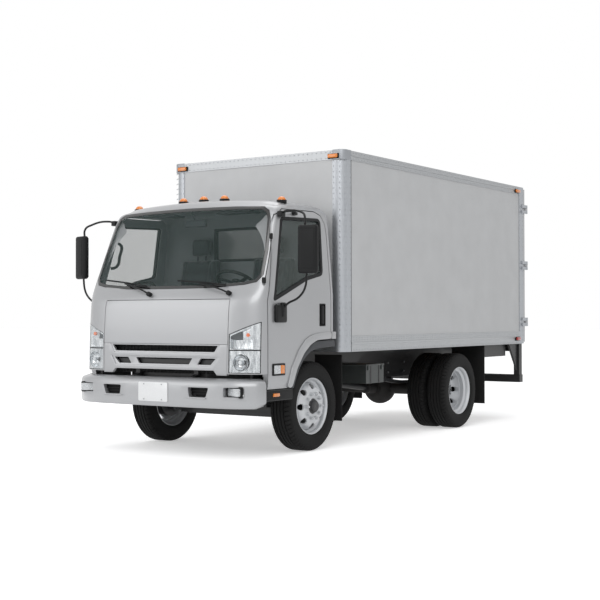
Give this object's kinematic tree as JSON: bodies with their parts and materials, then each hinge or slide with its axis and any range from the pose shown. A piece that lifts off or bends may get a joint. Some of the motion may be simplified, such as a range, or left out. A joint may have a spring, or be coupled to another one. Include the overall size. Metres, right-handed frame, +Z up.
{
  "type": "box truck",
  "caption": "Light box truck with a tilting cab, dry-freight load body with swing rear doors, steered front wheels and twin rear wheels.",
  "frame": {"origin": "on the ground under the middle of the truck, halfway between the front bumper and the rear door hinges", "axes": "+X forward, +Y to the truck's left, +Z up"},
  "size_m": [5.683, 2.7928, 2.756],
  "materials": {
    "cab_paint": "silver metallic enamel, clear coated",
    "chassis_black": "semi-gloss black chassis paint",
    "cast_iron": "rough cast",
    "exhaust_steel": "dull aluminised steel",
    "black_rubber": "matt",
    "floor_wood": "laminated hardwood, oiled",
    "panel_white": "smooth light grey sheet",
    "rail_aluminium": "mill finish, riveted",
    "amber_lens": "moulded lens",
    "red_lens": "moulded lens",
    "lamp_lens": "clear polycarbonate over a bright reflector",
    "dark_trim": "grained moulding",
    "screen_glass": "green tint",
    "seat_cloth": "woven, dark grey",
    "wheel_silver": "silver wheel paint",
    "tyre_black": "matt"
  },
  "bodies": {
    "chassis": {"frame": "chassis_black", "front_bumper": "cab_paint", "front_axle": "chassis_black", "rear_axle": "chassis_black", "leaf_springs": "chassis_black", "engine": "cast_iron", "drive_shaft": "chassis_black", "exhaust": "exhaust_steel", "fuel_tank": "chassis_black", "battery_box": "chassis_black", "mudflaps": "black_rubber", "underride_guard": "chassis_black", "tail_lamps": "red_lens", "subframe": "chassis_black", "load_floor": "floor_wood", "front_wall": "panel_white", "side_walls": "panel_white", "load_roof": "panel_white", "corner_posts": "rail_aluminium", "body_rails": "rail_aluminium", "rear_frame": "rail_aluminium", "marker_lamps": "amber_lens"},
    "left_rear_door": {"rear_door_left": "panel_white"},
    "right_rear_door": {"rear_door_right": "panel_white"},
    "cab": {"cab_front": "cab_paint", "cab_pillars": "cab_paint", "cab_roof": "cab_paint", "cab_back_wall": "cab_paint", "cab_floor": "dark_trim", "arch_lips": "dark_trim", "windscreen": "screen_glass", "rear_window": "screen_glass", "grille": "cab_paint", "headlamps": "lamp_lens", "roof_lamps": "amber_lens", "dashboard": "dark_trim", "driver_seat": "seat_cloth", "passenger_seat": "seat_cloth"},
    "steering": {"steering_wheel": "dark_trim"},
    "left_door": {"door_left": "cab_paint", "door_glass_left": "screen_glass", "mirror_left": "dark_trim"},
    "right_door": {"door_right": "cab_paint", "door_glass_right": "screen_glass", "mirror_right": "dark_trim"},
    "left_knuckle": {"knuckle_left": "chassis_black"},
    "right_knuckle": {"knuckle_right": "chassis_black"},
    "tie_bar": {"tie_rod": "chassis_black"},
    "front_left_wheel": {"front_rim_left": "wheel_silver", "front_tyre_left": "tyre_black"},
    "front_right_wheel": {"front_rim_right": "wheel_silver", "front_tyre_right": "tyre_black"},
    "rear_left_wheels": {"rear_rims_left": "wheel_silver", "rear_tyres_left": "tyre_black"},
    "rear_right_wheels": {"rear_rims_right": "wheel_silver", "rear_tyres_right": "tyre_black"}
  },
  "joints": [
    {"name": "cab_tilt", "type": "hinge", "parent": "chassis", "child": "cab", "pos_m": [2.7065, 0, 0.655], "axis": [0, 1, 0], "range_deg": [0, 45]},
    {"name": "left_door_swing", "type": "hinge", "parent": "cab", "child": "left_door", "pos_m": [2.5455, 1.012, 1], "axis": [0, 0, 1], "range_deg": [-70, 0]},
    {"name": "right_door_swing", "type": "hinge", "parent": "cab", "child": "right_door", "pos_m": [2.5455, -1.012, 1], "axis": [0, 0, 1], "range_deg": [0, 70]},
    {"name": "left_rear_door_swing", "type": "hinge", "parent": "chassis", "child": "left_rear_door", "pos_m": [-2.8295, 1.022, 1.8], "axis": [0, 0, 1], "range_deg": [-270, 0]},
    {"name": "right_rear_door_swing", "type": "hinge", "parent": "chassis", "child": "right_rear_door", "pos_m": [-2.8295, -1.022, 1.8], "axis": [0, 0, 1], "range_deg": [0, 270]},
    {"name": "steer_left", "type": "hinge", "parent": "chassis", "child": "left_knuckle", "pos_m": [1.7115, 0.7, 0.403], "axis": [0, 0, 1], "range_deg": [-32, 32]},
    {"name": "steer_right", "type": "hinge", "parent": "chassis", "child": "right_knuckle", "pos_m": [1.7115, -0.7, 0.403], "axis": [0, 0, 1], "range_deg": [-32, 32]},
    {"name": "tie_rod_swing", "type": "hinge", "parent": "left_knuckle", "child": "tie_bar", "pos_m": [1.5465, 0.64, 0.279], "axis": [0, 0, 1], "range_deg": [-32, 32]},
    {"name": "steering_turn", "type": "hinge", "parent": "cab", "child": "steering", "pos_m": [2.2115, 0.44, 1.5], "axis": [-0.5736, 0, 0.8192], "range_deg": [-512, 512]},
    {"name": "front_left_roll", "type": "hinge", "parent": "left_knuckle", "child": "front_left_wheel", "pos_m": [1.7115, 0.81, 0.403], "axis": [0, 1, 0], "continuous": true},
    {"name": "front_right_roll", "type": "hinge", "parent": "right_knuckle", "child": "front_right_wheel", "pos_m": [1.7115, -0.81, 0.403], "axis": [0, 1, 0], "continuous": true},
    {"name": "rear_left_roll", "type": "hinge", "parent": "chassis", "child": "rear_left_wheels", "pos_m": [-1.0535, 0.7825, 0.403], "axis": [0, 1, 0], "continuous": true},
    {"name": "rear_right_roll", "type": "hinge", "parent": "chassis", "child": "rear_right_wheels", "pos_m": [-1.0535, -0.7825, 0.403], "axis": [0, 1, 0], "continuous": true}
  ],
  "couplings": [
    {"joint": "steer_right", "follows": "steer_left", "ratio": 1},
    {"joint": "tie_rod_swing", "follows": "steer_left", "ratio": -1},
    {"joint": "steering_turn", "follows": "steer_left", "ratio": 16}
  ]
}
